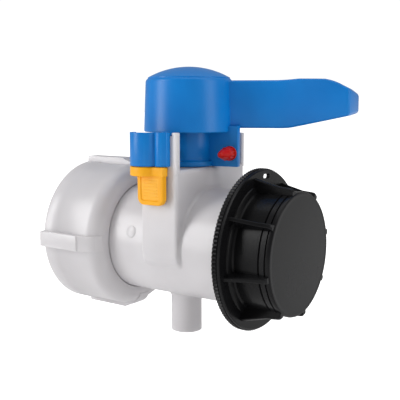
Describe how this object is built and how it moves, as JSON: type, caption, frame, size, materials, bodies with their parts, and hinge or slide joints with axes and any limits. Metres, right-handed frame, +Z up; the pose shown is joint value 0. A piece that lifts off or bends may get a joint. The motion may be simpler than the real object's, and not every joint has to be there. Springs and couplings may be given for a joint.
{
  "type": "ball valve",
  "caption": "Plastic quarter-turn ball valve for a bulk liquid tote, with a union nut, lever handle, lock slide, lock screw and threaded dust cap.",
  "frame": {"origin": "centre of the union nut's mouth, on the flow axis", "axes": "+X along the flow axis, from the inlet nut to the outlet cap; +Z up, along the stem, towards the handle; the lever points along +X when the valve is open"},
  "size_m": [0.1626, 0.0926, 0.152],
  "materials": {
    "natural_plastic": "natural polyethylene, slightly translucent white, satin",
    "ball_plastic": "white polypropylene, polished",
    "seat_plastic": "white fluoropolymer, machined",
    "handle_blue": "moulded blue plastic, satin with fine grain",
    "lock_yellow": "moulded yellow plastic, satin",
    "screw_red": "moulded red plastic, satin",
    "cap_black": "moulded black plastic, semi-gloss",
    "seal_rubber": "black rubber, matte"
  },
  "bodies": {
    "valve": {"valve_body": "natural_plastic", "inlet_tailpiece": "natural_plastic", "tailpiece_oring": "seal_rubber", "inlet_gasket": "seal_rubber", "seat_inlet": "seat_plastic", "seat_inlet_oring": "seal_rubber", "seat_outlet": "seat_plastic", "seat_outlet_oring": "seal_rubber", "stem_thrust_washer": "seat_plastic", "slide_holder": "handle_blue"},
    "handle": {"handle": "handle_blue", "stem": "ball_plastic", "ball": "ball_plastic", "stem_oring_lower": "seal_rubber", "stem_oring_upper": "seal_rubber"},
    "union_nut": {"union_nut": "natural_plastic"},
    "cap_gasket": {"cap_gasket": "seal_rubber"},
    "dust_cap": {"dust_cap": "cap_black"},
    "lock_slide": {"lock_slide": "lock_yellow"},
    "lock_screw_washer": {"lock_screw_washer": "screw_red"},
    "lock_screw": {"lock_screw": "screw_red"}
  },
  "joints": [
    {"name": "nut_spin", "type": "hinge", "parent": "valve", "child": "union_nut", "pos_m": [0, 0, 0], "axis": [1, 0, 0], "continuous": true},
    {"name": "handle_turn", "type": "hinge", "parent": "valve", "child": "handle", "pos_m": [0.075, 0, 0], "axis": [0, 0, 1], "range_deg": [0, 90]},
    {"name": "cap_travel", "type": "slide", "parent": "valve", "child": "cap_gasket", "axis": [1, 0, 0], "range_m": [0, 0.018]},
    {"name": "cap_turn", "type": "hinge", "parent": "cap_gasket", "child": "dust_cap", "pos_m": [0.1415, 0, 0], "axis": [1, 0, 0], "range_deg": [0, 1080]},
    {"name": "lock_slide_push", "type": "slide", "parent": "valve", "child": "lock_slide", "axis": [0, 0, -1], "range_m": [0, 0.006]},
    {"name": "screw_travel", "type": "slide", "parent": "handle", "child": "lock_screw_washer", "axis": [0.1392, -0.9903, 0], "range_m": [0, 0.003]},
    {"name": "screw_turn", "type": "hinge", "parent": "lock_screw_washer", "child": "lock_screw", "pos_m": [0.10124, 0.00369, 0.0512], "axis": [0.1392, -0.9903, 0], "range_deg": [0, 540]}
  ],
  "couplings": [
    {"joint": "cap_travel", "follows": "cap_turn", "m_per_rad": 0.0009549},
    {"joint": "screw_turn", "follows": "screw_travel", "rad_per_m": 3141.6}
  ]
}
